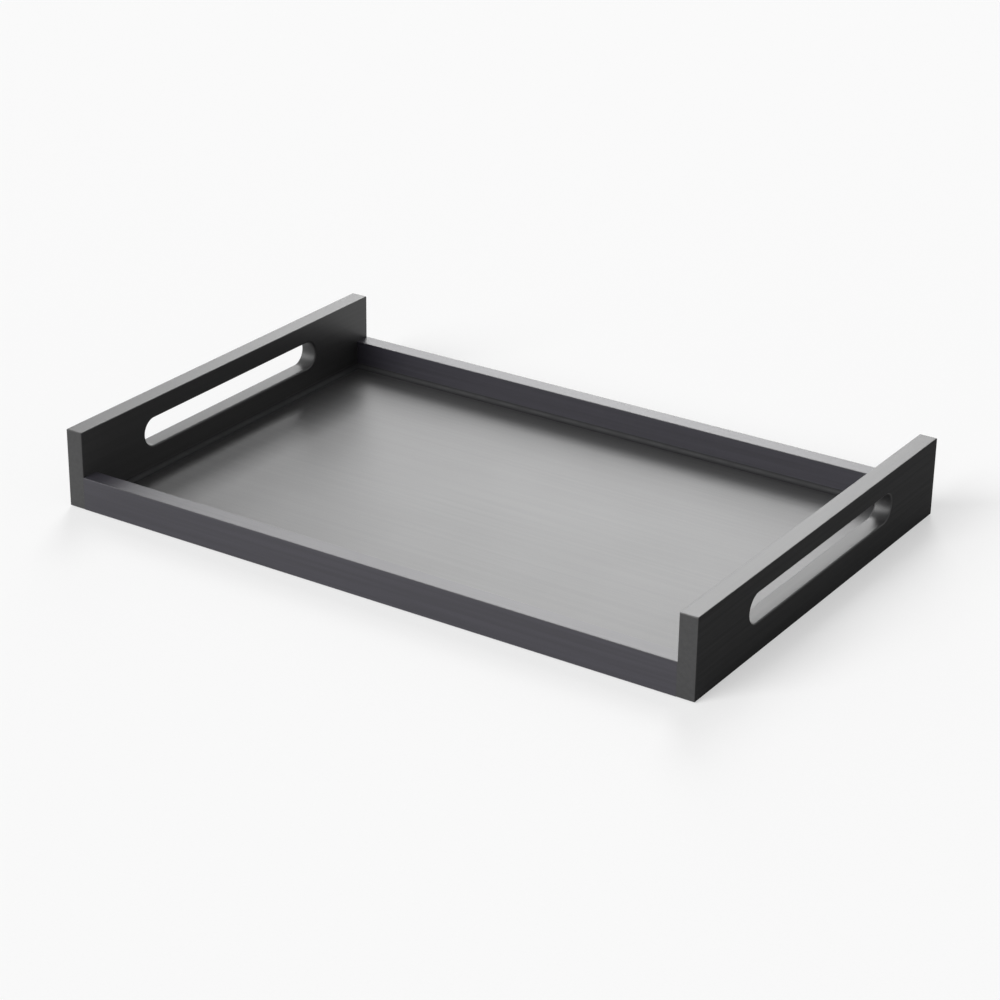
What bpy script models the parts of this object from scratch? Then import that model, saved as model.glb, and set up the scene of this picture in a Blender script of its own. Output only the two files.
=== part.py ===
"""A black lacquered room service tray, at its real size in metres, with +Z up.

Two full-height end panels with hand slots stand at the short ends. A low rail runs along each
long side and butts between the panels on fluted dowels. The base board is let into a rebate in
the underside of all four walls and held up by countersunk screws. A cove of sealant closes the
joint round the floor, and round pads keep the tray off the table.

X runs along the tray, Y from its front to its rear, and the origin lies on the table under the
middle of the tray.
"""

import math

import bmesh
import bpy
from mathutils import Matrix, Vector

# Outside sizes
TRAY_LENGTH = 0.600
TRAY_DEPTH = 0.400
PANEL_HEIGHT = 0.0692
PANEL_THICKNESS = 0.016
RAIL_HEIGHT = 0.029
RAIL_THICKNESS = 0.016
EDGE_RADIUS = 0.0008

# Hand slots, one through each end panel
SLOT_LENGTH = 0.240
SLOT_HEIGHT = 0.025
SLOT_BELOW_TOP = 0.0177
SLOT_RIM_RADIUS = 0.0015

# Base board and the rebate that takes it
BASE_THICKNESS = 0.003
BASE_RECESS = 0.0007
REBATE_WIDTH = 0.009
ROUTER_RADIUS = 0.006
BEAD_LEG = 0.004
BEAD_TIP = 0.0003

# Dowels at the corners, in blind holes
DOWEL_DIAMETER = 0.006
DOWEL_LENGTH = 0.030
DOWEL_DEPTH_IN_PANEL = 0.010
DOWEL_CHAMFER = 0.0008
DOWELS_PER_CORNER = 2
FLUTE_COUNT = 12
FLUTE_DEPTH = 0.0003
FLUTE_WIDTH_SHARE = 0.4

# Screws that hold the base board up
SCREW_LENGTH = 0.012
SCREW_SHANK_DIAMETER = 0.0025
SCREW_HEAD_DIAMETER = 0.005
SCREW_HEAD_RIM = 0.0003
SCREW_POINT_LENGTH = 0.0025
SCREW_SINK = 0.0002
RECESS_SPAN = 0.0030
RECESS_WIDTH = 0.0007
RECESS_DEPTH = 0.0014
SCREWS_PER_RAIL = 4
SCREW_END_INSET = 0.060

# Pads under the corners of the base board
PAD_DIAMETER = 0.016
PAD_PROUD = 0.0008
PAD_INSET = 0.032
PAD_EDGE_CHAMFER = 0.0003

# Clearance between neighbouring pieces, and how far a cutter runs past a face
FIT_GAP = 0.0003
CUTTER_OVERRUN = 0.002

# Facets of the round shapes
EDGE_STEPS = 2
RIM_STEPS = 3
SLOT_END_STEPS = 14
ROUTER_STEPS = 5
COVE_STEPS = 4
HOLE_STEPS = 20
SCREW_STEPS = 16
PAD_STEPS = 28

# Levels above the table
WALL_BOTTOM = PAD_PROUD
PANEL_TOP = WALL_BOTTOM + PANEL_HEIGHT
RAIL_TOP = WALL_BOTTOM + RAIL_HEIGHT
BASE_BOTTOM = WALL_BOTTOM + BASE_RECESS
FLOOR_TOP = BASE_BOTTOM + BASE_THICKNESS
REBATE_TOP = FLOOR_TOP + FIT_GAP
SLOT_CENTRE = PANEL_TOP - SLOT_BELOW_TOP - SLOT_HEIGHT / 2

# Half sizes in plan
HALF_LENGTH = TRAY_LENGTH / 2
HALF_DEPTH = TRAY_DEPTH / 2
INNER_HALF_LENGTH = HALF_LENGTH - PANEL_THICKNESS
INNER_HALF_DEPTH = HALF_DEPTH - RAIL_THICKNESS
REBATE_HALF_LENGTH = INNER_HALF_LENGTH + REBATE_WIDTH
REBATE_HALF_DEPTH = INNER_HALF_DEPTH + REBATE_WIDTH

ENDS = {"left": -1, "right": 1}
SIDES = {"front": -1, "rear": 1}


def clear_scene():
    for obj in list(bpy.data.objects):
        bpy.data.objects.remove(obj, do_unlink=True)


def new_collection(name):
    collection = bpy.data.collections.new(name)
    bpy.context.scene.collection.children.link(collection)
    return collection


def new_material(name, colour, roughness, metallic=0.0):
    material = bpy.data.materials.new(name)
    material.use_nodes = True
    material.diffuse_color = (*colour, 1.0)
    shader = material.node_tree.nodes["Principled BSDF"]
    shader.inputs["Base Color"].default_value = (*colour, 1.0)
    shader.inputs["Roughness"].default_value = roughness
    shader.inputs["Metallic"].default_value = metallic
    return material


def mesh_from(bm, name):
    """Turns a finished bmesh into a mesh with its faces pointing out."""
    bmesh.ops.recalc_face_normals(bm, faces=bm.faces)
    mesh = bpy.data.meshes.new(name)
    bm.to_mesh(mesh)
    bm.free()
    return mesh


def place(name, mesh, location, collection, material=None):
    """Puts a mesh in the scene as one named object."""
    obj = bpy.data.objects.new(name, mesh)
    obj.location = location
    collection.objects.link(obj)
    if material and not mesh.materials:
        mesh.materials.append(material)
    return obj


def place_cutter(name, mesh, location):
    """Puts a mesh among the cutters, which are no part of the tray."""
    cutter = place(name, mesh, location, bpy.data.collections["cutters"])
    cutter.hide_render = True
    cutter.display_type = "WIRE"
    return cutter


def cut(obj, cutters):
    for cutter in cutters:
        boolean = obj.modifiers.new(cutter.name, "BOOLEAN")
        boolean.operation = "DIFFERENCE"
        boolean.solver = "EXACT"
        boolean.object = cutter


def shade_round(mesh):
    mesh.shade_smooth()
    mesh.set_sharp_from_angle(angle=math.radians(35))


def box(size):
    """A bmesh box of this size about its own centre."""
    bm = bmesh.new()
    bmesh.ops.create_cube(bm, size=1)
    bmesh.ops.scale(bm, vec=size, verts=bm.verts)
    return bm


def round_edges(bm, edges, radius, steps):
    bmesh.ops.bevel(
        bm, geom=edges, offset=radius, segments=steps, profile=0.5, affect="EDGES", clamp_overlap=True
    )


def runs_along(edge, axis):
    """True if an edge of a box lies along this axis, where X is 0, Y is 1 and Z is 2."""
    run = edge.verts[1].co - edge.verts[0].co
    return abs(run[axis]) > 0.999 * run.length


def plan_board(half_length, half_depth, height, corner_radius):
    """A flat board whose upright corners are rounded."""
    bm = box(Vector((2 * half_length, 2 * half_depth, height)))
    upright = [edge for edge in bm.edges if runs_along(edge, 2)]
    round_edges(bm, upright, corner_radius, ROUTER_STEPS)
    return bm


def loft(rings, closed=False):
    """A bmesh skinned over rings of points, with flat ends unless the last ring joins the first."""
    bm = bmesh.new()
    rows = [[bm.verts.new(point) for point in ring] for ring in rings]
    pairs = list(zip(rows, rows[1:]))
    if closed:
        pairs.append((rows[-1], rows[0]))
    else:
        bm.faces.new(rows[0])
        bm.faces.new(rows[-1])
    for row, other in pairs:
        for index, vert in enumerate(row):
            following = (index + 1) % len(row)
            bm.faces.new((vert, row[following], other[following], other[index]))
    return bm


def slot_ring(x, grow):
    """The round-ended outline of a hand slot at one station through the panel, grown all round."""
    radius = SLOT_HEIGHT / 2 + grow
    reach = (SLOT_LENGTH - SLOT_HEIGHT) / 2
    ring = []
    for side in (1, -1):
        for step in range(SLOT_END_STEPS + 1):
            angle = side * math.pi / 2 - math.pi * step / SLOT_END_STEPS
            ring.append((x, side * reach + radius * math.cos(angle), radius * math.sin(angle)))
    return ring


def slot_cutter_mesh():
    """A cutter for a hand slot whose rims flare out in a quarter round at both faces."""
    face = PANEL_THICKNESS / 2
    quarter = [math.pi / 2 * step / RIM_STEPS for step in range(RIM_STEPS + 1)]
    inside = [
        (face - SLOT_RIM_RADIUS * (1 - math.sin(angle)), SLOT_RIM_RADIUS * (1 - math.cos(angle)))
        for angle in quarter
    ]
    half = inside + [(face + CUTTER_OVERRUN, SLOT_RIM_RADIUS)]
    stations = [(-x, grow) for x, grow in reversed(half)] + half
    return mesh_from(loft([slot_ring(x, grow) for x, grow in stations]), "hand_slot")


def dowel_ring(x, scale):
    """A fluted dowel's outline at one station along it: a land, then a groove, all the way round."""
    pitch = 2 * math.pi / FLUTE_COUNT
    radius = DOWEL_DIAMETER / 2
    ring = []
    for flute in range(FLUTE_COUNT):
        start = flute * pitch
        corners = (
            (start, radius),
            (start + pitch * (1 - FLUTE_WIDTH_SHARE), radius),
            (start + pitch * (1 - FLUTE_WIDTH_SHARE / 2), radius - FLUTE_DEPTH),
        )
        ring += [(x, scale * r * math.cos(a), scale * r * math.sin(a)) for a, r in corners]
    return ring


def dowel_mesh():
    half = DOWEL_LENGTH / 2
    end_scale = 1 - 2 * DOWEL_CHAMFER / DOWEL_DIAMETER
    stations = ((-half, end_scale), (DOWEL_CHAMFER - half, 1), (half - DOWEL_CHAMFER, 1), (half, end_scale))
    return mesh_from(loft([dowel_ring(x, scale) for x, scale in stations]), "dowel")


def dowel_hole_mesh():
    """A plain cylinder along X that clears a dowel on all sides."""
    bm = bmesh.new()
    radius = DOWEL_DIAMETER / 2 + FIT_GAP
    turn = Matrix.Rotation(math.pi / 2, 4, "Y")
    bmesh.ops.create_cone(
        bm, cap_ends=True, segments=HOLE_STEPS, radius1=radius, radius2=radius,
        depth=DOWEL_LENGTH + 2 * FIT_GAP, matrix=turn,
    )
    return mesh_from(bm, "dowel_hole")


def dowel_places():
    """Each dowel's name, its end and side of the tray, and its middle."""
    x = INNER_HALF_LENGTH + DOWEL_DEPTH_IN_PANEL - DOWEL_LENGTH / 2
    y = HALF_DEPTH - RAIL_THICKNESS / 2
    pitch = (RAIL_TOP - REBATE_TOP) / DOWELS_PER_CORNER
    for end, end_sign in ENDS.items():
        for side, side_sign in SIDES.items():
            for level in range(DOWELS_PER_CORNER):
                middle = Vector((end_sign * x, side_sign * y, REBATE_TOP + pitch * (level + 0.5)))
                yield f"dowel_{side}_{end}_{level + 1}", end, side, middle


def turned(name, profile):
    """An object turned about Z from profile points that run down its outer side."""
    mesh = bpy.data.meshes.new(name)
    edges = [(index, index + 1) for index in range(len(profile) - 1)]
    mesh.from_pydata([(radius, 0, z) for radius, z in profile], edges, [])
    obj = place(name, mesh, (0, 0, 0), bpy.data.collections["cutters"])
    screw = obj.modifiers.new("turn", "SCREW")
    screw.axis = "Z"
    screw.steps = SCREW_STEPS
    screw.render_steps = SCREW_STEPS
    screw.use_merge_vertices = True
    screw.merge_threshold = 0.00001
    return obj


def settled_mesh(obj, name):
    """The mesh that an object's modifiers make. The object itself is removed."""
    graph = bpy.context.evaluated_depsgraph_get()
    mesh = bpy.data.meshes.new_from_object(obj.evaluated_get(graph))
    mesh.name = name
    bpy.data.objects.remove(obj, do_unlink=True)
    return mesh


def screw_profile(grow, overrun):
    """A countersunk screw's outline from its point down to its head, grown outwards by grow."""
    shank = SCREW_SHANK_DIAMETER / 2 + grow
    head = SCREW_HEAD_DIAMETER / 2 + grow
    cone_top = SCREW_HEAD_RIM + head - shank
    return (
        (0, SCREW_LENGTH + grow),
        (shank, SCREW_LENGTH - SCREW_POINT_LENGTH + grow),
        (shank, cone_top),
        (head, SCREW_HEAD_RIM),
        (head, -overrun),
        (0, -overrun),
    )


def recess_wing(angle):
    """One tapered wing of the cross recess, which narrows towards the bottom of the recess."""
    bm = bmesh.new()
    mouth = RECESS_SPAN / math.sqrt(2)
    depth = RECESS_DEPTH + CUTTER_OVERRUN
    upright = Matrix.Rotation(math.pi / 4, 4, "Z")
    bmesh.ops.create_cone(
        bm, cap_ends=True, segments=4, radius1=mouth, radius2=mouth / 2, depth=depth, matrix=upright
    )
    bmesh.ops.scale(bm, vec=(1, RECESS_WIDTH / RECESS_SPAN, 1), verts=bm.verts)
    bmesh.ops.rotate(bm, cent=(0, 0, 0), matrix=Matrix.Rotation(angle, 3, "Z"), verts=bm.verts)
    middle = (0, 0, (RECESS_DEPTH - CUTTER_OVERRUN) / 2)
    return place_cutter("cross_recess", mesh_from(bm, "cross_recess"), middle)


def screw_mesh():
    blank = turned("screw_blank", screw_profile(0, 0))
    wings = [recess_wing(0), recess_wing(math.pi / 2)]
    cut(blank, wings)
    mesh = settled_mesh(blank, "base_screw")
    for wing in wings:
        bpy.data.objects.remove(wing, do_unlink=True)
    shade_round(mesh)
    return mesh


def screw_places():
    """Each screw's name, the wall that it enters and the middle of its head."""
    z = BASE_BOTTOM + SCREW_SINK
    rail_y = INNER_HALF_DEPTH + REBATE_WIDTH / 2
    panel_x = INNER_HALF_LENGTH + REBATE_WIDTH / 2
    panel_y = (SLOT_LENGTH / 2 + INNER_HALF_DEPTH) / 2
    first = INNER_HALF_LENGTH - SCREW_END_INSET
    pitch = 2 * first / (SCREWS_PER_RAIL - 1)
    for side, sign in SIDES.items():
        for index in range(SCREWS_PER_RAIL):
            yield f"base_screw_{side}_{index + 1}", side, Vector((pitch * index - first, sign * rail_y, z))
    for end, sign in ENDS.items():
        for index, y in enumerate((-panel_y, panel_y)):
            yield f"base_screw_{end}_{index + 1}", end, Vector((sign * panel_x, y, z))


def make_dowels(parts, holes):
    """Adds the dowels, and files a hole cutter for each under the panel and the rail it joins."""
    mesh = dowel_mesh()
    hole = dowel_hole_mesh()
    beech = new_material("beech_dowel", (0.56, 0.38, 0.22), 0.6)
    for name, end, side, middle in dowel_places():
        place(name, mesh, middle, parts, beech)
        cutter = place_cutter(f"hole_for_{name}", hole, middle)
        holes[end].append(cutter)
        holes[side].append(cutter)


def make_screws(parts, holes):
    """Adds the screws, and files a hole cutter for each under its wall and the base board."""
    mesh = screw_mesh()
    hole = settled_mesh(turned("screw_hole", screw_profile(FIT_GAP, CUTTER_OVERRUN)), "screw_hole")
    zinc = new_material("zinc_plated_steel", (0.62, 0.62, 0.60), 0.35, 1.0)
    for name, wall, head in screw_places():
        place(name, mesh, head, parts, zinc)
        cutter = place_cutter(f"hole_for_{name}", hole, head)
        holes[wall].append(cutter)
        holes["base"].append(cutter)


def rebate_cutter():
    """The space for the base board, cut up into all four walls from below."""
    height = REBATE_TOP - WALL_BOTTOM + CUTTER_OVERRUN
    bm = plan_board(REBATE_HALF_LENGTH, REBATE_HALF_DEPTH, height, ROUTER_RADIUS)
    return place_cutter("base_rebate", mesh_from(bm, "base_rebate"), (0, 0, REBATE_TOP - height / 2))


def make_end_panel(end, parts, lacquer, cutters):
    """One end panel. Its inner upright edges are rounded only where they stand above the rails."""
    sign = ENDS[end]
    bm = box(Vector((PANEL_THICKNESS, TRAY_DEPTH, PANEL_HEIGHT)))
    middle = (WALL_BOTTOM + PANEL_TOP) / 2
    bmesh.ops.bisect_plane(
        bm, geom=bm.verts[:] + bm.edges[:] + bm.faces[:], plane_co=(0, 0, RAIL_TOP - middle), plane_no=(0, 0, 1)
    )

    def is_rounded(edge):
        if edge.calc_face_angle() < math.radians(45):
            return False
        inner = all(sign * vert.co.x < 0 for vert in edge.verts)
        beside_rail = min(vert.co.z for vert in edge.verts) < RAIL_TOP - middle - EDGE_RADIUS
        return not (inner and beside_rail and runs_along(edge, 2))

    round_edges(bm, [edge for edge in bm.edges if is_rounded(edge)], EDGE_RADIUS, EDGE_STEPS)
    centre = Vector((sign * (HALF_LENGTH - PANEL_THICKNESS / 2), 0, middle))
    panel = place(f"{end}_end_panel", mesh_from(bm, f"{end}_end_panel"), centre, parts, lacquer)
    slot = place_cutter(f"{end}_slot_cutter", slot_cutter_mesh(), (centre.x, 0, SLOT_CENTRE))
    cut(panel, [slot] + cutters)


def make_rail(side, parts, lacquer, cutters):
    """One long rail, which stops a fit gap short of the end panels. Its ends stay square."""
    bm = box(Vector((2 * (INNER_HALF_LENGTH - FIT_GAP), RAIL_THICKNESS, RAIL_HEIGHT)))
    round_edges(bm, [edge for edge in bm.edges if runs_along(edge, 0)], EDGE_RADIUS, EDGE_STEPS)
    centre = (0, SIDES[side] * (HALF_DEPTH - RAIL_THICKNESS / 2), (WALL_BOTTOM + RAIL_TOP) / 2)
    rail = place(f"{side}_rail", mesh_from(bm, f"{side}_rail"), centre, parts, lacquer)
    cut(rail, cutters)


def make_base(parts, lacquer, cutters):
    """The base board, which clears the rebate by a fit gap on every side."""
    bm = plan_board(
        REBATE_HALF_LENGTH - FIT_GAP, REBATE_HALF_DEPTH - FIT_GAP, BASE_THICKNESS, ROUTER_RADIUS - FIT_GAP
    )
    centre = (0, 0, (BASE_BOTTOM + FLOOR_TOP) / 2)
    base = place("base_panel", mesh_from(bm, "base_panel"), centre, parts, lacquer)
    cut(base, cutters)


def make_bead(parts):
    """The cove of sealant in the corner between the floor and the walls, mitred at its corners."""
    cove = BEAD_LEG - BEAD_TIP
    profile = [(0, 0), (BEAD_LEG, 0)]
    for step in range(COVE_STEPS + 1):
        angle = math.pi / 2 * step / COVE_STEPS
        profile.append((BEAD_LEG - cove * math.sin(angle), BEAD_LEG - cove * math.cos(angle)))
    profile.append((0, BEAD_LEG))
    corners = ((-1, -1), (1, -1), (1, 1), (-1, 1))
    rings = [
        [
            (
                end * (INNER_HALF_LENGTH - FIT_GAP - inward),
                side * (INNER_HALF_DEPTH - FIT_GAP - inward),
                up,
            )
            for inward, up in profile
        ]
        for end, side in corners
    ]
    sealant = new_material("black_sealant", (0.03, 0.03, 0.03), 0.45)
    mesh = mesh_from(loft(rings, closed=True), "floor_seal_bead")
    place("floor_seal_bead", mesh, (0, 0, FLOOR_TOP + FIT_GAP), parts, sealant)


def make_pads(parts):
    """Four round pads under the base board, which stand a little below the walls."""
    height = BASE_BOTTOM - FIT_GAP
    bm = bmesh.new()
    radius = PAD_DIAMETER / 2
    bmesh.ops.create_cone(
        bm, cap_ends=True, segments=PAD_STEPS, radius1=radius, radius2=radius, depth=height
    )
    lower_rim = [edge for edge in bm.edges if all(vert.co.z < 0 for vert in edge.verts)]
    round_edges(bm, lower_rim, PAD_EDGE_CHAMFER, 1)
    mesh = mesh_from(bm, "foot_pad")
    shade_round(mesh)
    rubber = new_material("pad_rubber", (0.04, 0.04, 0.04), 0.85)
    for end, end_sign in ENDS.items():
        for side, side_sign in SIDES.items():
            middle = (
                end_sign * (HALF_LENGTH - PAD_INSET),
                side_sign * (HALF_DEPTH - PAD_INSET),
                height / 2,
            )
            place(f"foot_pad_{side}_{end}", mesh, middle, parts, rubber)


def main():
    clear_scene()
    parts = new_collection("room_service_tray")
    new_collection("cutters")
    holes = {wall: [] for wall in (*ENDS, *SIDES, "base")}
    make_dowels(parts, holes)
    make_screws(parts, holes)
    rebate = rebate_cutter()
    for end in ENDS:
        lacquer = new_material(f"black_lacquer_{end}_panel", (0.026, 0.026, 0.028), 0.38)
        make_end_panel(end, parts, lacquer, [rebate] + holes[end])
    for side in SIDES:
        lacquer = new_material(f"black_lacquer_{side}_rail", (0.028, 0.028, 0.030), 0.38)
        make_rail(side, parts, lacquer, [rebate] + holes[side])
    base_lacquer = new_material("black_lacquer_base", (0.030, 0.030, 0.031), 0.34)
    make_base(parts, base_lacquer, holes["base"])
    make_bead(parts)
    make_pads(parts)


main()
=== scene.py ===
"""The looks of a black lacquered room service tray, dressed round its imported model.

Sizes are in metres in the model's own frame: X runs along the tray, Y from its front to its rear,
and +Z is up. Every board is rebuilt on its CAD box with finer rounding, tight joints and a satin
lacquer that shows a little of the grain. The dowels stay the model's own and get a beech finish.
"""

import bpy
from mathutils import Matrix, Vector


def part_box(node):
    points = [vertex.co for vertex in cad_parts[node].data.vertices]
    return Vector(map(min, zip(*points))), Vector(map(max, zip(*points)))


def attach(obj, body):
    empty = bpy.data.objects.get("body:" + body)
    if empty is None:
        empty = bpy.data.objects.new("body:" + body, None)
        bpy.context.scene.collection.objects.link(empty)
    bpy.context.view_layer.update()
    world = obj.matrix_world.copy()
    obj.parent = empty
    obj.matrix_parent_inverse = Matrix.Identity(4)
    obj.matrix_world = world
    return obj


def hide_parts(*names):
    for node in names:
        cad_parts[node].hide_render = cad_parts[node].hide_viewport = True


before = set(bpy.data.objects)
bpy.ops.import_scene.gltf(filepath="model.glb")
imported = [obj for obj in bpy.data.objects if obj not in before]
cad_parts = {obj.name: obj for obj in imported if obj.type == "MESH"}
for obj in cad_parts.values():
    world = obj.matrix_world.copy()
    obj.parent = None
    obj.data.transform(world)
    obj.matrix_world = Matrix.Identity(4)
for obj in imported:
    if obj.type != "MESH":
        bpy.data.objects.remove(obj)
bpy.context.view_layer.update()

import math

import bmesh
import bpy
from mathutils import Matrix, Quaternion, Vector

# Boards: the rails' long edges are rounded less than the end panels' edges
EDGE_RADIUS = 0.0008
RAIL_EDGE_RADIUS = 0.0005
JOINT_ARRIS = 0.00006
ROUTER_RADIUS = 0.006
FIT_GAP = 0.0003
CUTTER_OVERRUN = 0.002

# Hand slots, one through each end panel
SLOT_LENGTH = 0.240
SLOT_HEIGHT = 0.025
SLOT_BELOW_TOP = 0.0177
SLOT_RIM_RADIUS = 0.0015

# The cove of sealant round the floor, and how far its inner corners are tooled round
BEAD_LEG = 0.0043
BEAD_TIP = 0.00004
BEAD_CORNER_RADIUS = 0.003

# Wood screws under the base board. The thread's ridge takes up 2 / THREAD_STEEPNESS of its pitch,
# and the thread swells out of the core over its first and last THREAD_SWELL_SHARE.
SCREW_HEAD_RIM = 0.0003
SCREW_SHANK_RADIUS = 0.00115
SCREW_CORE_RADIUS = 0.0008
SCREW_CREST_RADIUS = 0.0012875
SCREW_TIP_RADIUS = 0.0001
SCREW_POINT_LENGTH = 0.0030
SCREW_THREAD_PITCH = 0.0011
SCREW_THREAD_START = 0.0042
THREAD_STEEPNESS = 3
THREAD_SWELL_SHARE = 0.125
RECESS_SPAN = 0.0030
RECESS_WIDTH = 0.0007
RECESS_DEPTH = 0.0014
RECESS_TAPER = 0.5

# Pads, over a skin of adhesive that stops a little short of their side
PAD_EDGE_RADIUS = 0.0004
PAD_SKIN = 0.0004
PAD_SKIN_INSET = 0.0002

# Facets of the round shapes
EDGE_STEPS = 5
RIM_STEPS = 7
SLOT_END_STEPS = 40
ROUTER_STEPS = 12
COVE_STEPS = 10
TURN_STEPS = 48
THREAD_STEPS = 24
THREAD_ROWS_PER_TURN = 6
SMOOTH_ANGLE = math.radians(35)
STRAIGHT_SHARE = 0.999

# Where most of a noise lies
NOISE_LOW = 0.3
NOISE_HIGH = 0.7

# Lacquer: colours are linear, and a grain's size is its length and its width
PANEL_COLOUR = (0.0260, 0.0260, 0.0265)
RAIL_COLOUR = (0.0255, 0.0240, 0.0315)
FLOOR_BOARD_COLOUR = (0.0310, 0.0310, 0.0315)
LACQUER_WORN_COLOUR = (0.060, 0.059, 0.058)
BOARD_ROUGHNESS = 0.40
FLOOR_BOARD_ROUGHNESS = 0.40
LACQUER_SPECULAR = 0.5
OUTER_FACE_SPECULAR = 0.01
SLOT_WALL_DULLNESS = 0.05
STREAK_SIZE = (0.160, 0.0030)
STREAK_CONTRAST = 0.12
PORE_SIZE = (0.012, 0.0004)
PORE_SUNK = (0.52, 0.72)
PORE_DEPTH = 0.000008
PORE_DULL = (0.55, 0.75)
PORE_DULLNESS = 0.02
PEEL_SIZE = 0.0016
PEEL_DEPTH = 0.000010
SMUDGE_SIZE = 0.090
SMUDGE_SPREAD = (0.2, 0.8)
SMUDGE_CONTRAST = 0.006
WEAR_REACH = 0.0013
WEAR_STRENGTH = 0.35
WEAR_POLISH = 0.05

# Sealant
SEALANT_COLOURS = ((0.009, 0.009, 0.010), (0.012, 0.012, 0.013))
SEALANT_ROUGHNESS = (0.64, 0.72)
SEALANT_SPECULAR = 0.33
WAVE_SIZE = 0.012
WAVE_HEIGHT = 0.0002
SKIN_SIZE = 0.0004
SKIN_DEPTH = 0.00001

# Beech
BEECH_COLOURS = ((0.62, 0.43, 0.26), (0.47, 0.30, 0.17))
BEECH_ROUGHNESS = (0.55, 0.70)
RING_SIZE = (0.030, 0.0012)
FLECK_COLOUR = (0.30, 0.17, 0.09)
FLECK_SIZE = (0.0025, 0.0002)
FLECK_SPREAD = (0.60, 0.72)
FLECK_STRENGTH = 0.6
FLECK_DEPTH = 0.00003

# Zinc plate, with the turning marks' wave in radians per metre
ZINC_COLOURS = ((0.66, 0.66, 0.65), (0.50, 0.51, 0.53))
ZINC_ROUGHNESS = (0.28, 0.45)
ZINC_PATCH_SIZE = 0.0012
TURNING_WAVE = 60000.0
TURNING_DEPTH = 0.000004

# Rubber, with its stipple's cells per metre
RUBBER_COLOURS = ((0.030, 0.030, 0.030), (0.058, 0.057, 0.055))
RUBBER_ROUGHNESS = (0.72, 0.88)
BLOOM_SIZE = 0.004
BLOOM_SPREAD = (0.35, 0.7)
STIPPLE_CELLS = 1800.0
STIPPLE_DEPTH = 0.00008
STIPPLE_STRENGTH = 0.8

# The photograph's camera
CAMERA_AIM = Vector((0.0115, -0.0200, 0.0200))
CAMERA_DISTANCE = 2.236
CAMERA_AZIMUTH = math.radians(33.065)
CAMERA_ELEVATION = math.radians(24.507)
CAMERA_ROLL = math.radians(0.848)
CAMERA_LENS = 97.29
SENSOR_WIDTH = 36

# Lamps far away, each by azimuth, elevation and width across in degrees, and its strength.
# Azimuth 0 lies in front of the tray and 90 to its right. The sheens are the parts of one tall
# softbox, which the top faces mirror to the camera.
LAMPS = {
    "key_front_left": (-20, 32, 40, 3.05),
    "sheen_low": (-147, 14, 20, 0.29),
    "sheen_middle": (-152, 34, 20, 0.77),
    "sheen_high": (-154, 54, 20, 0.33),
}
FILL_STRENGTH = 0.21

# The table top under the tray
TABLE_SIZE = 60
TABLE_COLOUR = (0.92, 0.92, 0.92)
TABLE_SHADE = 0.985
TABLE_ROUGHNESS = 0.9
TABLE_SPECULAR = 0.2
TABLE_GRAIN_SIZE = 0.002
TABLE_GRAIN_DEPTH = 0.00002
TABLE_WHITENING = 0.5
WHITE = (1, 1, 1, 1)

ENDS = {"left": -1, "right": 1}
SIDES = {"front": -1, "rear": 1}


class Nodes:
    """Builds one node tree, a node at a time."""

    def __init__(self, tree):
        self.tree = tree

    def add(self, kind, inputs, **settings):
        """A node with its settings, and its inputs as sockets or plain values."""
        node = self.tree.nodes.new(f"ShaderNode{kind}")
        for name, value in settings.items():
            setattr(node, name, value)
        for name, value in inputs.items():
            self.set(node, name, value)
        return node

    def set(self, node, name, value):
        if isinstance(value, bpy.types.NodeSocket):
            self.tree.links.new(value, node.inputs[name])
        else:
            node.inputs[name].default_value = value

    def math(self, operation, a, b=0.0):
        return self.add("Math", {0: a, 1: b}, operation=operation).outputs[0]

    def seen(self):
        """1 for what the camera sees, also in gloss and through glass, and 0 for light that falls."""
        ways = self.add("LightPath", {}).outputs
        mirrored = self.math("MAXIMUM", ways["Is Glossy Ray"], ways["Is Transmission Ray"])
        return self.math("MAXIMUM", ways["Is Camera Ray"], mirrored)

    def mix_shaders(self, share, first, second):
        """The first shader, with this share of the second."""
        return self.add("MixShader", {0: share, 1: first, 2: second}).outputs[0]


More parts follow.
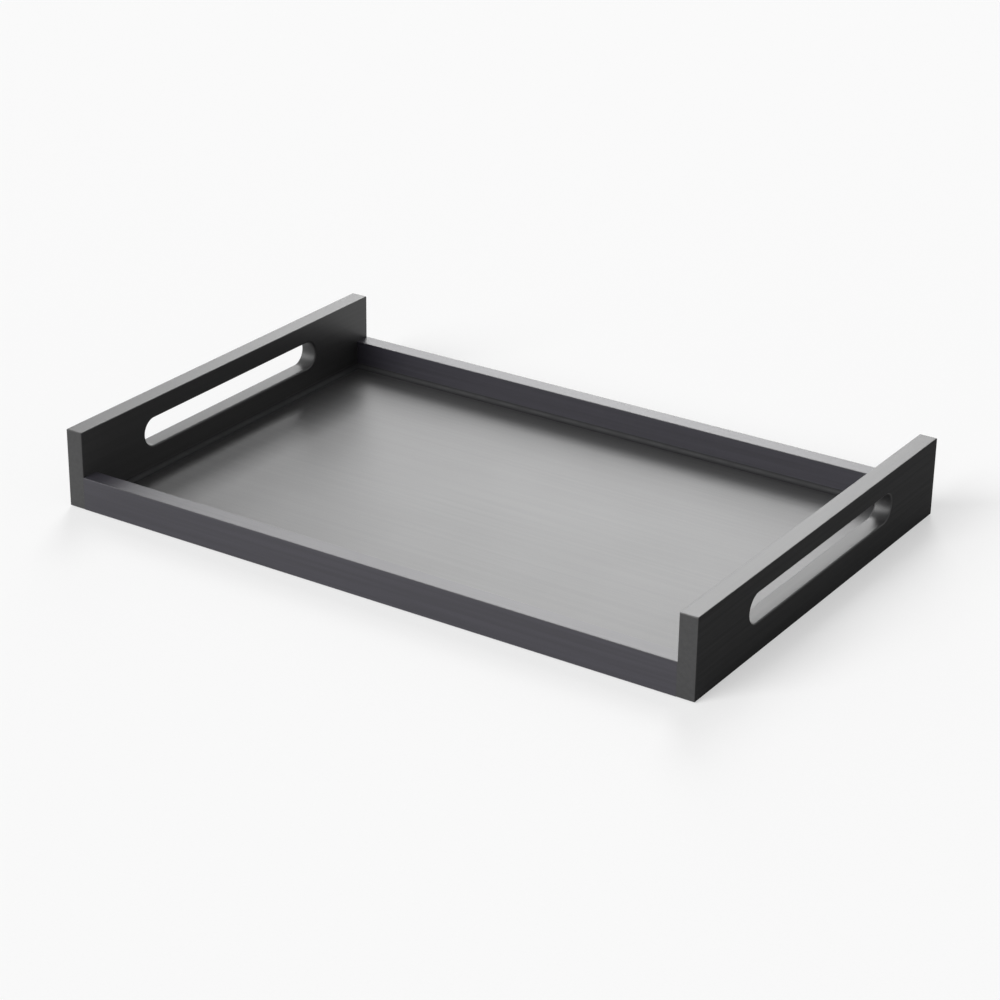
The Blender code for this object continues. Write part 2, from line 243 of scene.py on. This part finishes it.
class Look(Nodes):
    """Builds one procedural material."""

    def __init__(self, name):
        self.material = bpy.data.materials.new(name)
        self.material.use_nodes = True
        super().__init__(self.material.node_tree)
        self.shader = self.tree.nodes["Principled BSDF"]

    def finish(self, **inputs):
        """Sets the shader's inputs, named with underscores, and returns the material."""
        for name, value in inputs.items():
            self.set(self.shader, name.replace("_", " "), value)
        return self.material

    def length(self, a, b):
        """The length of a flat vector of these two parts."""
        squares = self.math("ADD", self.math("POWER", a, 2.0), self.math("POWER", b, 2.0))
        return self.math("SQRT", squares)

    def vector(self, operation, a, b=(0, 0, 0)):
        return self.add("VectorMath", {0: a, 1: b}, operation=operation).outputs[0]

    def split(self, vector):
        return self.add("SeparateXYZ", {0: vector}).outputs

    def own_place(self):
        """A point's place in its own piece, whose origin is the piece's middle."""
        return self.add("TexCoord", {}).outputs["Object"]

    def wood_place(self):
        """A point's place in the plank it was cut from, which differs from piece to piece."""
        middle = self.add("ObjectInfo", {}).outputs["Location"]
        return self.vector("ADD", self.own_place(), middle)

    def noise(self, place, size, detail=2.0):
        """Noise from 0 to 1 whose patches have this size, one number or one along each axis."""
        sizes = size if isinstance(size, tuple) else (size, size, size)
        spread = self.vector("DIVIDE", place, sizes)
        return self.add("TexNoise", {"Vector": spread, "Scale": 1.0, "Detail": detail}).outputs["Fac"]

    def remap(self, value, low, high, to_low=0.0, to_high=1.0):
        """Moves a value smoothly from one range to another, and clamps it there."""
        inputs = {"Value": value, "From Min": low, "From Max": high, "To Min": to_low, "To Max": to_high}
        return self.add("MapRange", inputs, interpolation_type="SMOOTHSTEP").outputs["Result"]

    def spread(self, noise, to_low=0.0, to_high=1.0):
        """Stretches the part of a noise where most of it lies over a whole range."""
        return self.remap(noise, NOISE_LOW, NOISE_HIGH, to_low, to_high)

    def mix(self, share, first, second):
        """The first colour, with this share of the second."""

        def full(colour):
            return colour if isinstance(colour, bpy.types.NodeSocket) else (*colour, 1)

        return self.add("Mix", {0: share, 6: full(first), 7: full(second)}, data_type="RGBA").outputs[2]

    def bump(self, height, distance, strength=1.0, under=None):
        inputs = {"Height": height, "Distance": distance, "Strength": strength}
        if under:
            inputs["Normal"] = under
        return self.add("Bump", inputs).outputs["Normal"]


def along(axis, size):
    """A grain's size on each axis, for a grain that runs along this one."""
    length, width = size
    return tuple(length if index == axis else width for index in range(3))


def board_edge_distance(look, place, half):
    """How far a point of a board is from its nearest edge: the middle one of its distances to the faces."""
    x, y, z = look.split(look.vector("SUBTRACT", half, look.vector("ABSOLUTE", place)))
    low = look.math("MINIMUM", x, y)
    high = look.math("MAXIMUM", x, y)
    return look.math("MAXIMUM", low, look.math("MINIMUM", high, z))


def rail_edge_distance(look, place, half):
    """How far a point of a rail is from its nearest long edge. The ends are butted and have no wear."""
    y, z = look.split(look.vector("SUBTRACT", half, look.vector("ABSOLUTE", place)))[1:]
    return look.math("MAXIMUM", y, z)


def slot_rise(half):
    """How far the hand slot's axis is above the middle of its panel."""
    return half.z - SLOT_BELOW_TOP - SLOT_HEIGHT / 2


def from_slot_axis(look, place, half):
    """How far a point of an end panel is from the straight part of its hand slot's axis, side on."""
    from_middle = look.vector("ABSOLUTE", look.vector("SUBTRACT", place, (0, 0, slot_rise(half))))
    y, z = look.split(from_middle)[1:]
    past_straight = look.math("MAXIMUM", look.math("SUBTRACT", y, (SLOT_LENGTH - SLOT_HEIGHT) / 2), 0.0)
    return look.length(past_straight, z)


def slot_rim_distance(look, place, half):
    """How far a point of an end panel is from the rim of its hand slot."""
    rim = SLOT_HEIGHT / 2 + SLOT_RIM_RADIUS / 2
    from_rim = look.math("ABSOLUTE", look.math("SUBTRACT", from_slot_axis(look, place, half), rim))
    from_middle = look.math("ABSOLUTE", look.split(place)[0])
    return look.math("MAXIMUM", from_rim, look.math("SUBTRACT", half.x, from_middle))


def panel_edge_distance(look, place, half, inner_side, joint_top):
    """How far a point of an end panel is from an edge that hands reach.

    The inner side is 1 or -1. Up to the top of the joint it is covered by the rails.
    """
    x, _, z = look.split(place)
    inside = look.math("GREATER_THAN", look.math("MULTIPLY", x, inner_side), 0.0)
    covered = look.math("MULTIPLY", inside, look.math("LESS_THAN", z, joint_top))
    outline = look.math("ADD", board_edge_distance(look, place, half), covered)
    return look.math("MINIMUM", outline, slot_rim_distance(look, place, half))


def panel_parts(look, place, half, inner_side):
    """Two shares of an end panel: 1 on its outer face, and 1 on the walls of its hand slot."""
    outward = look.math("MULTIPLY", look.split(place)[0], -inner_side)
    on_outer_face = look.remap(outward, half.x - EDGE_RADIUS, half.x)
    wall = SLOT_HEIGHT / 2
    on_wall = look.remap(from_slot_axis(look, place, half), wall, wall + SLOT_RIM_RADIUS, 1.0, 0.0)
    return on_outer_face, on_wall


def lacquer(name, colour, roughness, grain_axis, edge_distance=None, parts=None):
    """Satin black lacquer over wood. With an edge distance it is rubbed lighter and smoother there.

    The parts are its shares of outer face, which is left matt, and of slot wall, which is duller.
    """
    look = Look(name)
    own, wood = look.own_place(), look.wood_place()
    streaks = look.noise(wood, along(grain_axis, STREAK_SIZE), 3.0)
    pores = look.noise(wood, along(grain_axis, PORE_SIZE))
    peel = look.noise(wood, PEEL_SIZE, 1.0)
    smudges = look.noise(wood, SMUDGE_SIZE, 1.0)

    deep = tuple(channel * (1 - STREAK_CONTRAST) for channel in colour)
    light = tuple(channel * (1 + STREAK_CONTRAST) for channel in colour)
    tone = look.mix(look.spread(streaks), deep, light)
    dull = look.remap(smudges, *SMUDGE_SPREAD, roughness - SMUDGE_CONTRAST, roughness + SMUDGE_CONTRAST)
    dull = look.math("ADD", dull, look.remap(pores, *PORE_DULL, 0.0, PORE_DULLNESS))
    if edge_distance:
        ragged = look.math("ADD", edge_distance(look, own), look.math("MULTIPLY", streaks, WEAR_REACH / 2))
        wear = look.remap(ragged, WEAR_REACH / 4, WEAR_REACH, WEAR_STRENGTH, 0.0)
        tone = look.mix(wear, tone, LACQUER_WORN_COLOUR)
        dull = look.math("SUBTRACT", dull, look.math("MULTIPLY", wear, WEAR_POLISH))

    specular = LACQUER_SPECULAR
    if parts:
        on_outer_face, on_wall = parts(look, own)
        specular = look.remap(on_outer_face, 0.0, 1.0, LACQUER_SPECULAR, OUTER_FACE_SPECULAR)
        dull = look.math("ADD", dull, look.math("MULTIPLY", on_wall, SLOT_WALL_DULLNESS))

    skin = look.bump(peel, PEEL_DEPTH)
    surface = look.bump(look.remap(pores, *PORE_SUNK, 1.0, 0.0), PORE_DEPTH, under=skin)
    return look.finish(Base_Color=tone, Roughness=dull, Normal=surface, Specular_IOR_Level=specular)


def sealant():
    """Black sealant, smoothed with a wet finger: soft waves along it and a faint skin."""
    look = Look("black_sealant")
    place = look.own_place()
    waves = look.noise(place, WAVE_SIZE, 1.0)
    skin = look.noise(place, SKIN_SIZE)
    colour = look.mix(look.spread(waves), *SEALANT_COLOURS)
    rough = look.spread(waves, *SEALANT_ROUGHNESS)
    surface = look.bump(skin, SKIN_DEPTH, under=look.bump(waves, WAVE_HEIGHT))
    return look.finish(
        Base_Color=colour, Roughness=rough, Normal=surface, Specular_IOR_Level=SEALANT_SPECULAR
    )


def beech():
    """Bare beech: pale brown with short darker flecks along the dowel."""
    look = Look("fluted_beech")
    place = look.own_place()
    rings = look.noise(place, along(0, RING_SIZE), 3.0)
    flecks = look.noise(place, along(0, FLECK_SIZE))
    wood = look.mix(look.spread(rings), *BEECH_COLOURS)
    colour = look.mix(look.remap(flecks, *FLECK_SPREAD, 0.0, FLECK_STRENGTH), wood, FLECK_COLOUR)
    rough = look.spread(rings, *BEECH_ROUGHNESS)
    return look.finish(Base_Color=colour, Roughness=rough, Normal=look.bump(flecks, FLECK_DEPTH))


def zinc():
    """Zinc plate: a cool grey metal, brushed round by turning, duller in patches."""
    look = Look("zinc_plate")
    place = look.own_place()
    x, y = look.split(place)[:2]
    turning = look.math("SINE", look.math("MULTIPLY", look.length(x, y), TURNING_WAVE))
    patches = look.noise(place, ZINC_PATCH_SIZE, 3.0)
    colour = look.mix(look.spread(patches), *ZINC_COLOURS)
    rough = look.spread(patches, *ZINC_ROUGHNESS)
    marks = look.bump(turning, TURNING_DEPTH)
    return look.finish(Base_Color=colour, Roughness=rough, Metallic=1.0, Normal=marks)


def rubber():
    """Matt black rubber with a moulded stipple."""
    look = Look("stippled_rubber")
    place = look.own_place()
    stipple = look.add("TexVoronoi", {"Vector": place, "Scale": STIPPLE_CELLS}).outputs["Distance"]
    bloom = look.noise(place, BLOOM_SIZE, 3.0)
    colour = look.mix(look.remap(bloom, *BLOOM_SPREAD), *RUBBER_COLOURS)
    rough = look.spread(bloom, *RUBBER_ROUGHNESS)
    dimples = look.bump(stipple, STIPPLE_DEPTH, STIPPLE_STRENGTH)
    return look.finish(Base_Color=colour, Roughness=rough, Normal=dimples)


def box(size):
    """A bmesh box of this size about its own centre."""
    bm = bmesh.new()
    bmesh.ops.create_cube(bm, size=1)
    bmesh.ops.scale(bm, vec=size, verts=bm.verts)
    return bm


def round_edges(bm, edges, radius, steps):
    bmesh.ops.bevel(
        bm, geom=edges, offset=radius, segments=steps, profile=0.5, affect="EDGES", clamp_overlap=True
    )


def runs_along(edge, axis):
    """True if a straight edge lies along this axis, where X is 0, Y is 1 and Z is 2."""
    run = edge.verts[1].co - edge.verts[0].co
    return abs(run[axis]) > STRAIGHT_SHARE * run.length


def quarter_turn(steps):
    """The angles of a quarter turn, in steps."""
    return [math.pi / 2 * step / steps for step in range(steps + 1)]


def loft(rings, closed=False):
    """A bmesh skinned over rings of points, with flat ends unless the last ring joins the first."""
    bm = bmesh.new()
    rows = [[bm.verts.new(point) for point in ring] for ring in rings]
    pairs = list(zip(rows, rows[1:]))
    if closed:
        pairs.append((rows[-1], rows[0]))
    else:
        bm.faces.new(rows[0])
        bm.faces.new(rows[-1])
    for row, other in pairs:
        for index, vert in enumerate(row):
            following = (index + 1) % len(row)
            bm.faces.new((vert, row[following], other[following], other[index]))
    return bm


def mesh_from(bm, name):
    bmesh.ops.recalc_face_normals(bm, faces=bm.faces)
    mesh = bpy.data.meshes.new(name)
    bm.to_mesh(mesh)
    bm.free()
    return mesh


def shade_true(mesh):
    """Blends the shading of small facets that meet smoothly, and keeps flat faces flat.

    A corner's normal is the mean of the faces round it that turn away by little, by their area.
    """
    around = [[] for _ in mesh.vertices]
    for face in mesh.polygons:
        for vert in face.vertices:
            around[vert].append((face.normal.copy(), face.area))
    limit = math.cos(SMOOTH_ANGLE)
    normals = []
    for face in mesh.polygons:
        for vert in face.vertices:
            near = [normal * area for normal, area in around[vert] if normal.dot(face.normal) > limit]
            normals.append(sum(near, Vector()).normalized())
    mesh.shade_smooth()
    mesh.normals_split_custom_set(normals)


def place(name, mesh, location):
    obj = bpy.data.objects.new(name, mesh)
    obj.location = location
    bpy.context.scene.collection.objects.link(obj)
    return obj


def remove(objects):
    for obj in objects:
        bpy.data.objects.remove(obj, do_unlink=True)


def cut_mesh(bm, location, cutters, name):
    """A mesh of this name from a bmesh at its location, with the cutters taken away from it."""
    blank = place("blank", mesh_from(bm, "blank"), location)
    for cutter in cutters:
        boolean = blank.modifiers.new(cutter.name, "BOOLEAN")
        boolean.operation = "DIFFERENCE"
        boolean.solver = "EXACT"
        boolean.object = cutter
    graph = bpy.context.evaluated_depsgraph_get()
    mesh = bpy.data.meshes.new_from_object(blank.evaluated_get(graph))
    mesh.name = name
    remove([blank])
    return mesh


def dress(name, mesh, location, material, node):
    """Puts a finished piece on the tray in place of its CAD node."""
    obj = place(name, mesh, location)
    mesh.materials.clear()
    mesh.materials.append(material)
    shade_true(mesh)
    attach(obj, "root")
    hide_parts(node)
    return obj


def middle_and_half(node):
    low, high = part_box(node)
    low, high = Vector(low), Vector(high)
    return (low + high) / 2, (high - low) / 2


def nodes_named(start):
    return sorted(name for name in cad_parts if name.startswith(start))


def slot_ring(x, grow):
    """The round-ended outline of a hand slot at one station through the panel, grown all round."""
    radius = SLOT_HEIGHT / 2 + grow
    reach = (SLOT_LENGTH - SLOT_HEIGHT) / 2
    ring = []
    for side in (1, -1):
        for step in range(SLOT_END_STEPS + 1):
            angle = side * math.pi / 2 - math.pi * step / SLOT_END_STEPS
            ring.append((x, side * reach + radius * math.cos(angle), radius * math.sin(angle)))
    return ring


def slot_cutter(centre, face):
    """A cutter for a hand slot whose rims flare out in a quarter round at both faces of the panel."""
    flare = [
        (face - SLOT_RIM_RADIUS * (1 - math.sin(angle)), SLOT_RIM_RADIUS * (1 - math.cos(angle)))
        for angle in quarter_turn(RIM_STEPS)
    ]
    half = flare + [(face + CUTTER_OVERRUN, SLOT_RIM_RADIUS)]
    stations = [(-x, grow) for x, grow in reversed(half)] + half
    rings = [slot_ring(x, grow) for x, grow in stations]
    return place("slot_cutter", mesh_from(loft(rings), "slot"), centre)


def rebate_cutter():
    """The space for the base board, cut up into all four walls from below, with routed corners."""
    centre, half = middle_and_half("base_panel")
    height = 2 * half.z + FIT_GAP + 2 * CUTTER_OVERRUN
    bm = box(Vector((2 * (half.x + FIT_GAP), 2 * (half.y + FIT_GAP), height)))
    round_edges(bm, [edge for edge in bm.edges if runs_along(edge, 2)], ROUTER_RADIUS, ROUTER_STEPS)
    top = centre.z + half.z + FIT_GAP
    return place("rebate_cutter", mesh_from(bm, "rebate"), (0, 0, top - height / 2))


def dowel_hole_cutters():
    """A plain cylinder along X round every dowel."""
    cutters = []
    for node in nodes_named("dowel_"):
        centre, half = middle_and_half(node)
        radius = half.z + FIT_GAP
        bm = bmesh.new()
        bmesh.ops.create_cone(
            bm, cap_ends=True, segments=TURN_STEPS, radius1=radius, radius2=radius,
            depth=2 * (half.x + FIT_GAP), matrix=Matrix.Rotation(math.pi / 2, 4, "Y"),
        )
        cutters.append(place(f"hole_{node}", mesh_from(bm, "dowel_hole"), centre))
    return cutters


def turned_rings(profile, steps):
    """Rings round Z for a profile of radius and height."""
    turn = [2 * math.pi * step / steps for step in range(steps)]
    return [[(r * math.cos(a), r * math.sin(a), z) for a in turn] for r, z in profile]


def screw_hole_cutters():
    """A countersunk hole for every screw, open below."""
    cutters = []
    for node in nodes_named("base_screw_"):
        centre, half = middle_and_half(node)
        head = half.x + FIT_GAP
        shank = SCREW_SHANK_RADIUS + FIT_GAP
        rim = SCREW_HEAD_RIM - half.z
        profile = (
            (head, -half.z - CUTTER_OVERRUN),
            (head, rim),
            (shank, rim + head - shank),
            (shank, half.z + FIT_GAP),
        )
        mesh = mesh_from(loft(turned_rings(profile, TURN_STEPS)), "screw_hole")
        cutters.append(place(f"hole_{node}", mesh, centre))
    return cutters


def make_end_panels(cutters):
    """The end panels. Their inner upright edges are rounded only where they stand above the rails."""
    rail_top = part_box("front_rail")[1][2]
    for end, sign in ENDS.items():
        node = f"{end}_end_panel"
        centre, half = middle_and_half(node)
        bm = box(2 * half)
        everything = bm.verts[:] + bm.edges[:] + bm.faces[:]
        joint_top = rail_top - centre.z
        bmesh.ops.bisect_plane(bm, geom=everything, plane_co=(0, 0, joint_top), plane_no=(0, 0, 1))

        def is_rounded(edge):
            if edge.calc_face_angle() < SMOOTH_ANGLE:
                return False
            inner = all(sign * vert.co.x < 0 for vert in edge.verts)
            beside_rail = min(vert.co.z for vert in edge.verts) < joint_top - EDGE_RADIUS
            return not (inner and beside_rail and runs_along(edge, 2))

        def edges(look, place):
            return panel_edge_distance(look, place, half, -sign, joint_top)

        def parts(look, place):
            return panel_parts(look, place, half, -sign)

        round_edges(bm, [edge for edge in bm.edges if is_rounded(edge)], EDGE_RADIUS, EDGE_STEPS)
        slot = slot_cutter(centre + Vector((0, 0, slot_rise(half))), half.x)
        mesh = cut_mesh(bm, centre, [slot] + cutters, node)
        remove([slot])
        material = lacquer(f"{end}_panel_lacquer", PANEL_COLOUR, BOARD_ROUGHNESS, 1, edges, parts)
        dress(f"{end}_panel_board", mesh, centre, material, node)


def make_rails(cutters):
    """The long rails, butted tight between the end panels with a hairline arris at each joint."""
    rail_half = middle_and_half("front_rail")[1]

    def edges(look, place):
        return rail_edge_distance(look, place, rail_half)

    material = lacquer("rail_lacquer", RAIL_COLOUR, BOARD_ROUGHNESS, 0, edges)
    inner_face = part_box("right_end_panel")[0][0]
    for side in SIDES:
        node = f"{side}_rail"
        centre, half = middle_and_half(node)
        bm = box(Vector((2 * inner_face, 2 * half.y, 2 * half.z)))
        long_edges = [edge for edge in bm.edges if runs_along(edge, 0)]
        round_edges(bm, long_edges, RAIL_EDGE_RADIUS, EDGE_STEPS)
        ends = [edge for edge in bm.edges if all(abs(vert.co.x) > half.x for vert in edge.verts)]
        round_edges(bm, ends, JOINT_ARRIS, 1)
        mesh = cut_mesh(bm, centre, cutters, node)
        dress(f"{side}_rail_board", mesh, centre, material, node)


def make_base(cutters):
    """The base board, with routed corners and eased lower edges."""
    centre, half = middle_and_half("base_panel")
    bm = box(2 * half)
    upright = [edge for edge in bm.edges if runs_along(edge, 2)]
    round_edges(bm, upright, ROUTER_RADIUS - FIT_GAP, ROUTER_STEPS)
    lower = [edge for edge in bm.edges if all(vert.co.z < 0 for vert in edge.verts)]
    round_edges(bm, lower, FIT_GAP, 2)
    mesh = cut_mesh(bm, centre, cutters, "base_panel")
    material = lacquer("floor_lacquer", FLOOR_BOARD_COLOUR, FLOOR_BOARD_ROUGHNESS, 0)
    dress("base_board", mesh, centre, material, "base_panel")


def bead_stations(half_length, half_depth):
    """Pairs of plan points round the floor, one on the wall's foot and one on the bead's inner line."""
    inset = BEAD_LEG + BEAD_CORNER_RADIUS
    stations = []
    for corner in range(4):
        end = (1, -1, -1, 1)[corner]
        side = (1, 1, -1, -1)[corner]
        centre = Vector((end * (half_length - inset), side * (half_depth - inset)))
        for turn in quarter_turn(ROUTER_STEPS):
            angle = math.pi / 2 * corner + turn
            outward = Vector((math.cos(angle), math.sin(angle)))
            inner = centre + BEAD_CORNER_RADIUS * outward
            wall = centre + inset * outward / max(abs(outward.x), abs(outward.y))
            stations.append((wall, inner))
    return stations


def make_bead():
    """A cove of sealant in the corner between the floor and the walls, tooled round at its corners."""
    wall_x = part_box("right_end_panel")[0][0]
    wall_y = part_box("rear_rail")[0][1]
    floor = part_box("base_panel")[1][2]
    cove = 1 - BEAD_TIP / BEAD_LEG
    profile = [(0, 0), (1, 0)]
    profile += [(1 - cove * math.sin(turn), 1 - cove * math.cos(turn)) for turn in quarter_turn(COVE_STEPS)]
    profile.append((0, 1))
    rings = []
    for wall, inner in bead_stations(wall_x, wall_y):
        plan = [(wall.lerp(inner, inward), BEAD_LEG * up) for inward, up in profile]
        rings.append([(point.x, point.y, height) for point, height in plan])
    mesh = mesh_from(loft(rings, closed=True), "bead")
    dress("floor_bead", mesh, (0, 0, floor), sealant(), "floor_seal_bead")


def thread_rings(core, crest, low, high):
    """Rings of a screw thread, which swells out of the core at both ends."""
    rows = round((high - low) / SCREW_THREAD_PITCH * THREAD_ROWS_PER_TURN)
    rings = []
    for row in range(rows + 1):
        share = row / rows
        height = low + (high - low) * share
        swell = min(1, share / THREAD_SWELL_SHARE, (1 - share) / THREAD_SWELL_SHARE)
        ring = []
        for step in range(THREAD_STEPS):
            turn = step / THREAD_STEPS
            phase = (height / SCREW_THREAD_PITCH - turn) % 1
            ridge = max(0, 1 - THREAD_STEEPNESS * abs(phase - 0.5))
            radius = core + (crest - core) * ridge * swell
            angle = 2 * math.pi * turn
            ring.append((radius * math.cos(angle), radius * math.sin(angle), height))
        rings.append(ring)
    return rings


def recess_cutters(depth_from):
    """The two tapered wings of a cross recess."""
    wings = []
    mouth = RECESS_SPAN / math.sqrt(2)
    depth = RECESS_DEPTH + CUTTER_OVERRUN
    for angle in (0, math.pi / 2):
        bm = bmesh.new()
        upright = Matrix.Rotation(math.pi / 4, 4, "Z")
        bmesh.ops.create_cone(
            bm, cap_ends=True, segments=4, radius1=mouth, radius2=RECESS_TAPER * mouth,
            depth=depth, matrix=upright,
        )
        bmesh.ops.scale(bm, vec=(1, RECESS_WIDTH / RECESS_SPAN, 1), verts=bm.verts)
        bmesh.ops.rotate(bm, cent=(0, 0, 0), matrix=Matrix.Rotation(angle, 3, "Z"), verts=bm.verts)
        middle = (0, 0, depth_from + (RECESS_DEPTH - CUTTER_OVERRUN) / 2)
        wings.append(place("wing", mesh_from(bm, "wing"), middle))
    return wings


def screw_mesh(half):
    """A countersunk wood screw, point up, with a cross recess below and a cut thread."""
    low = -half.z
    head = half.x
    neck = low + SCREW_HEAD_RIM + head - SCREW_SHANK_RADIUS
    thread_start = low + SCREW_THREAD_START
    thread_end = half.z - SCREW_POINT_LENGTH
    rings = turned_rings(
        (
            (head, low),
            (head, low + SCREW_HEAD_RIM),
            (SCREW_SHANK_RADIUS, neck),
            (SCREW_SHANK_RADIUS, thread_start - SCREW_THREAD_PITCH / 2),
        ),
        THREAD_STEPS,
    )
    rings += thread_rings(SCREW_CORE_RADIUS, SCREW_CREST_RADIUS, thread_start, thread_end)
    rings += turned_rings(((SCREW_TIP_RADIUS, half.z),), THREAD_STEPS)
    wings = recess_cutters(low)
    mesh = cut_mesh(loft(rings), (0, 0, 0), wings, "screw")
    remove(wings)
    return mesh


def make_screws():
    nodes = nodes_named("base_screw_")
    mesh = screw_mesh(middle_and_half(nodes[0])[1])
    material = zinc()
    for node in nodes:
        centre = middle_and_half(node)[0]
        name = node.replace("base_screw", "wood_screw")
        dress(name, mesh.copy(), centre, material, node)


def make_pads():
    """Round pads stuck to the base board, with a rounded lower edge over a thin skin of adhesive."""
    material = rubber()
    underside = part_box("base_panel")[0][2]
    for node in nodes_named("foot_pad_"):
        centre, half = middle_and_half(node)
        radius = half.x
        profile = [
            (radius - PAD_EDGE_RADIUS * (1 - math.sin(turn)), PAD_EDGE_RADIUS * (1 - math.cos(turn)))
            for turn in quarter_turn(EDGE_STEPS)
        ]
        profile += [
            (radius, underside - PAD_SKIN),
            (radius - PAD_SKIN_INSET, underside - PAD_SKIN),
            (radius - PAD_SKIN_INSET, underside),
        ]
        mesh = mesh_from(loft(turned_rings(profile, TURN_STEPS)), "pad")
        name = node.replace("foot_pad", "round_pad")
        dress(name, mesh, (centre.x, centre.y, 0), material, node)


def dress_dowels():
    material = beech()
    for node in nodes_named("dowel_"):
        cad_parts[node].material_slots[0].material = material


def make_floor():
    """The pale table top. To the camera and in gloss it is lifted towards white."""
    bm = bmesh.new()
    bmesh.ops.create_grid(bm, x_segments=1, y_segments=1, size=TABLE_SIZE / 2)
    floor = place("studio_floor", mesh_from(bm, "studio_floor"), (0, 0, 0))
    look = Look("pale_table")
    grain = look.noise(look.own_place(), TABLE_GRAIN_SIZE, 3.0)
    shade = tuple(channel * TABLE_SHADE for channel in TABLE_COLOUR)
    material = look.finish(
        Base_Color=look.mix(look.spread(grain), shade, TABLE_COLOUR),
        Roughness=TABLE_ROUGHNESS,
        Specular_IOR_Level=TABLE_SPECULAR,
        Normal=look.bump(grain, TABLE_GRAIN_DEPTH),
    )
    white = look.add("Emission", {"Color": WHITE, "Strength": 1.0}).outputs[0]
    share = look.math("MULTIPLY", look.seen(), TABLE_WHITENING)
    surface = look.mix_shaders(share, look.shader.outputs[0], white)
    look.set(look.tree.nodes["Material Output"], "Surface", surface)
    floor.data.materials.append(material)


def towards(azimuth, elevation):
    """The direction from the tray to something at this azimuth and elevation."""
    level = math.cos(elevation)
    return Vector((math.sin(azimuth) * level, -math.cos(azimuth) * level, math.sin(elevation)))


def make_lamps():
    """Broad lamps far away, like large softboxes, so that the floor is lit evenly everywhere."""
    for name, (azimuth, elevation, width, strength) in LAMPS.items():
        lamp = bpy.data.lights.new(name, "SUN")
        lamp.angle = math.radians(width)
        lamp.energy = strength
        obj = bpy.data.objects.new(name, lamp)
        back = towards(math.radians(azimuth), math.radians(elevation))
        obj.rotation_mode = "QUATERNION"
        obj.rotation_quaternion = back.to_track_quat("Z", "Y")
        bpy.context.scene.collection.objects.link(obj)


def make_world():
    """A dim even fill. To the camera, and in gloss and glass, the room beyond the floor is white."""
    world = bpy.data.worlds.new("studio")
    world.use_nodes = True
    bpy.context.scene.world = world
    nodes = Nodes(world.node_tree)
    fill = nodes.tree.nodes["Background"]
    nodes.set(fill, "Color", WHITE)
    nodes.set(fill, "Strength", FILL_STRENGTH)
    white = nodes.add("Background", {"Color": WHITE, "Strength": 1.0})
    surface = nodes.mix_shaders(nodes.seen(), fill.outputs[0], white.outputs[0])
    nodes.set(nodes.tree.nodes["World Output"], "Surface", surface)


def make_camera():
    """The photograph's camera, which stands a little askew."""
    scene = bpy.context.scene
    camera = bpy.data.objects.new("camera", bpy.data.cameras.new("camera"))
    camera.data.lens = CAMERA_LENS
    camera.data.sensor_width = SENSOR_WIDTH
    back = towards(CAMERA_AZIMUTH, CAMERA_ELEVATION)
    camera.location = CAMERA_AIM + CAMERA_DISTANCE * back
    camera.rotation_mode = "QUATERNION"
    camera.rotation_quaternion = back.to_track_quat("Z", "Y") @ Quaternion((0, 0, 1), CAMERA_ROLL)
    scene.collection.objects.link(camera)
    scene.camera = camera
    scene.view_settings.view_transform = "Standard"


def main():
    screw_holes = screw_hole_cutters()
    wall_cutters = [rebate_cutter()] + dowel_hole_cutters() + screw_holes
    make_end_panels(wall_cutters)
    make_rails(wall_cutters)
    make_base(screw_holes)
    remove(wall_cutters)
    make_bead()
    make_screws()
    make_pads()
    dress_dowels()
    make_floor()
    make_lamps()
    make_world()
    make_camera()


main()
